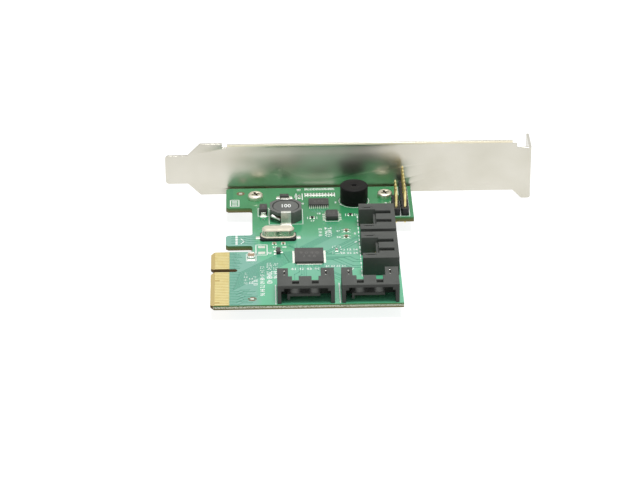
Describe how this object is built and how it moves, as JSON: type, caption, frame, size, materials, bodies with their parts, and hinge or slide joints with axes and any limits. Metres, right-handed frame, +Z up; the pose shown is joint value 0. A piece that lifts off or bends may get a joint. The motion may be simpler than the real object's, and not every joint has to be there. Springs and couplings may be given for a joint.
{
  "type": "raid controller card",
  "caption": "Expansion card with a gold edge connector, right-angle drive sockets, a controller chip, pin headers and a full-height steel slot bracket.",
  "frame": {"origin": "under the middle of the card's bounding box, at its lowest point, which is the lower edge of the bracket's flare", "axes": "+X along the bracket from its tongue to its screw flange, +Y from the front of the board to the bracket, +Z up out of the component side"},
  "size_m": [0.12, 0.0908, 0.0214],
  "materials": {
    "solder_mask_board": "glossy green solder mask over glass-fibre board",
    "gold_plating": "thin gold plating",
    "plated_steel": "satin nickel-plated sheet steel",
    "nickel_screw": "bright nickel plating",
    "chip_epoxy": "fine-grained dark moulding compound",
    "tin": "bright tin plating",
    "crystal_metal": "bright drawn can",
    "black_plastic": "black moulded plastic",
    "ferrite": "dark grey pressed ferrite",
    "copper_wire": "enamelled copper wire",
    "resistor_glaze": "dark glazed top",
    "capacitor_ceramic": "fired tan ceramic",
    "buzzer_plastic": "black moulded plastic",
    "gold_pin": "gold-flashed square wire",
    "solder": "bright solder",
    "white_ink": "white legend printed on the solder mask",
    "socket_plastic": "dark grey glass-filled plastic"
  },
  "bodies": {
    "root": {"activity_header_base": "black_plastic", "activity_header_pins": "gold_pin", "bare_pads": "tin", "bracket": "plated_steel", "bracket_screws": "nickel_screw", "buzzer_base": "buzzer_plastic", "buzzer_case": "buzzer_plastic", "buzzer_pins": "tin", "chip_capacitor_bodies": "capacitor_ceramic", "chip_capacitor_ends": "tin", "chip_resistor_bodies": "resistor_glaze", "chip_resistor_ends": "tin", "circuit_board": "solder_mask_board", "controller_chip": "chip_epoxy", "controller_chip_leads": "tin", "crystal_base": "black_plastic", "crystal_can": "crystal_metal", "crystal_leads": "tin", "drive_socket_1": "socket_plastic", "drive_socket_2": "socket_plastic", "drive_socket_3": "socket_plastic", "drive_socket_4": "socket_plastic", "drive_socket_clips_1": "tin", "drive_socket_clips_2": "tin", "drive_socket_clips_3": "tin", "drive_socket_clips_4": "tin", "drive_socket_contacts_1": "gold_pin", "drive_socket_contacts_2": "gold_pin", "drive_socket_contacts_3": "gold_pin", "drive_socket_contacts_4": "gold_pin", "driver_chip": "chip_epoxy", "driver_chip_leads": "tin", "edge_contacts_component_side": "gold_plating", "edge_contacts_solder_side": "gold_plating", "filter_capacitor_bodies": "capacitor_ceramic", "filter_capacitor_ends": "tin", "inductor_clips": "tin", "inductor_coil": "copper_wire", "inductor_core": "ferrite", "inductor_shield": "ferrite", "inductor_wire_ends": "tin", "jumper_header_base": "black_plastic", "jumper_header_pins": "gold_pin", "memory_chip": "chip_epoxy", "memory_chip_leads": "tin", "power_diode": "chip_epoxy", "power_diode_terminals": "tin", "regulator": "chip_epoxy", "regulator_leads": "tin", "small_diode": "chip_epoxy", "small_diode_terminals": "tin", "solder_joints": "solder"}
  },
  "joints": []
}
